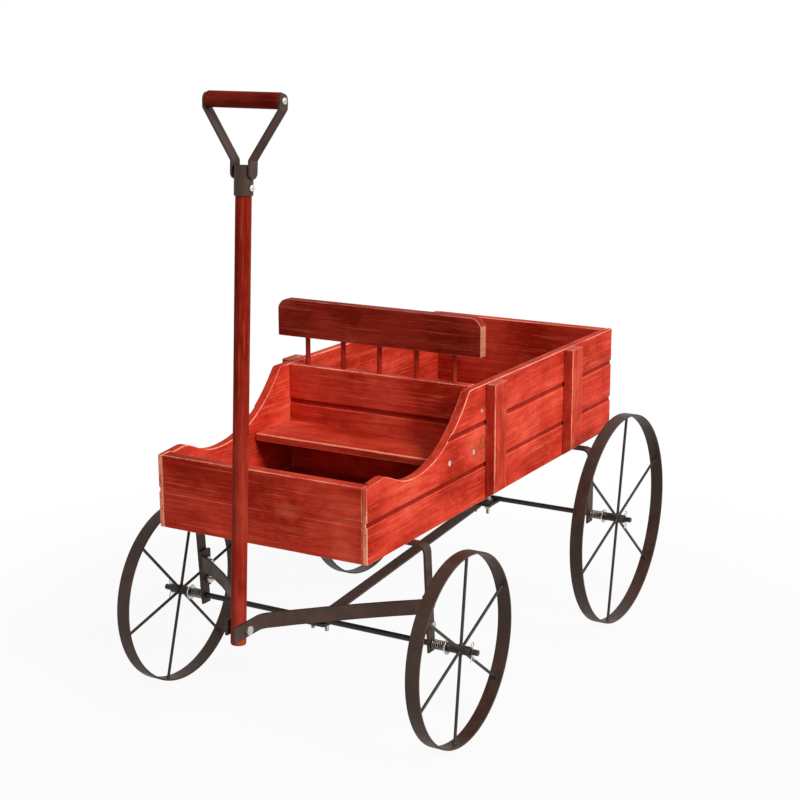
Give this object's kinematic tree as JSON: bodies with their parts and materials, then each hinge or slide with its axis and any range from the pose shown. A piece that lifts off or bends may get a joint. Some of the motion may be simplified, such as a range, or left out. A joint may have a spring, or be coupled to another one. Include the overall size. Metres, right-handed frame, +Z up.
{
  "type": "flower cart stand",
  "caption": "Wagon-shaped wooden planter box with a bench seat and spindle backrest, spoked metal wheels on flat-bar forks and a tilting pull handle with a wooden grip.",
  "frame": {"origin": "on the ground under the middle of the cart's overall length and width", "axes": "+X across to the right-hand wheels seen from the handle end, +Y along the cart toward its tail, +Z up; the handle is at -Y"},
  "size_m": [0.358, 0.6272, 0.5989],
  "materials": {
    "red_boards": "thin barn-red stain over sawn softwood boards, grain showing, edges rubbed pale",
    "red_dowels": "thin red-brown stain over turned softwood, streaked along the grain",
    "bronze_metal": "dark bronze-brown powder coat, satin",
    "zinc_plate": "bright zinc plating, slightly dulled"
  },
  "bodies": {
    "cart": {"side_panel_left": "red_boards", "side_panel_right": "red_boards", "front_panel": "red_boards", "rear_panel": "red_boards", "floor_board_front": "red_boards", "floor_board_rear": "red_boards", "seat_board": "red_boards", "seat_back": "red_boards", "backrest_board": "red_boards", "batten_left_1": "red_boards", "batten_left_2": "red_boards", "batten_right_1": "red_boards", "batten_right_2": "red_boards", "spindle_1": "red_dowels", "spindle_2": "red_dowels", "spindle_3": "red_dowels", "spindle_4": "red_dowels", "spindle_5": "red_dowels", "front_fork": "bronze_metal", "rear_fork": "bronze_metal", "front_axle": "bronze_metal", "rear_axle": "bronze_metal", "reach_bar": "bronze_metal", "hound_left": "bronze_metal", "hound_right": "bronze_metal", "reach_bolt_front_left": "zinc_plate", "reach_bolt_front_right": "zinc_plate", "spring_front_left": "zinc_plate", "spring_front_right": "zinc_plate", "washer_front_left": "zinc_plate", "washer_front_right": "zinc_plate", "split_pin_front_left": "zinc_plate", "split_pin_front_right": "zinc_plate", "reach_bolt_rear_left": "zinc_plate", "reach_bolt_rear_right": "zinc_plate", "spring_rear_left": "zinc_plate", "spring_rear_right": "zinc_plate", "washer_rear_left": "zinc_plate", "washer_rear_right": "zinc_plate", "split_pin_rear_left": "zinc_plate", "split_pin_rear_right": "zinc_plate", "hound_bolt_left_1": "zinc_plate", "hound_bolt_left_2": "zinc_plate", "hound_bolt_right_1": "zinc_plate", "hound_bolt_right_2": "zinc_plate", "pivot_bolt": "zinc_plate"},
    "handle": {"handle_pole": "red_dowels", "handle_yoke": "bronze_metal", "handle_grip": "red_dowels", "grip_screw_left": "zinc_plate", "grip_screw_right": "zinc_plate", "socket_screw": "zinc_plate"},
    "wheel_front_left": {"wheel_rim_front_left": "bronze_metal", "wheel_spokes_front_left": "bronze_metal"},
    "wheel_front_right": {"wheel_rim_front_right": "bronze_metal", "wheel_spokes_front_right": "bronze_metal"},
    "wheel_rear_left": {"wheel_rim_rear_left": "bronze_metal", "wheel_spokes_rear_left": "bronze_metal"},
    "wheel_rear_right": {"wheel_rim_rear_right": "bronze_metal", "wheel_spokes_rear_right": "bronze_metal"}
  },
  "joints": [
    {"name": "handle_tilt", "type": "hinge", "parent": "cart", "child": "handle", "pos_m": [0, -0.2936, 0.125], "axis": [1, 0, 0], "range_deg": [-7.5, 105]},
    {"name": "wheel_spin_front_left", "type": "hinge", "parent": "cart", "child": "wheel_front_left", "pos_m": [-0.1608, -0.1696, 0.0922], "axis": [1, 0, 0], "continuous": true},
    {"name": "wheel_spin_front_right", "type": "hinge", "parent": "cart", "child": "wheel_front_right", "pos_m": [0.1608, -0.1696, 0.0922], "axis": [1, 0, 0], "continuous": true},
    {"name": "wheel_spin_rear_left", "type": "hinge", "parent": "cart", "child": "wheel_rear_left", "pos_m": [-0.1645, 0.1971, 0.1165], "axis": [1, 0, 0], "continuous": true},
    {"name": "wheel_spin_rear_right", "type": "hinge", "parent": "cart", "child": "wheel_rear_right", "pos_m": [0.1645, 0.1971, 0.1165], "axis": [1, 0, 0], "continuous": true}
  ]
}
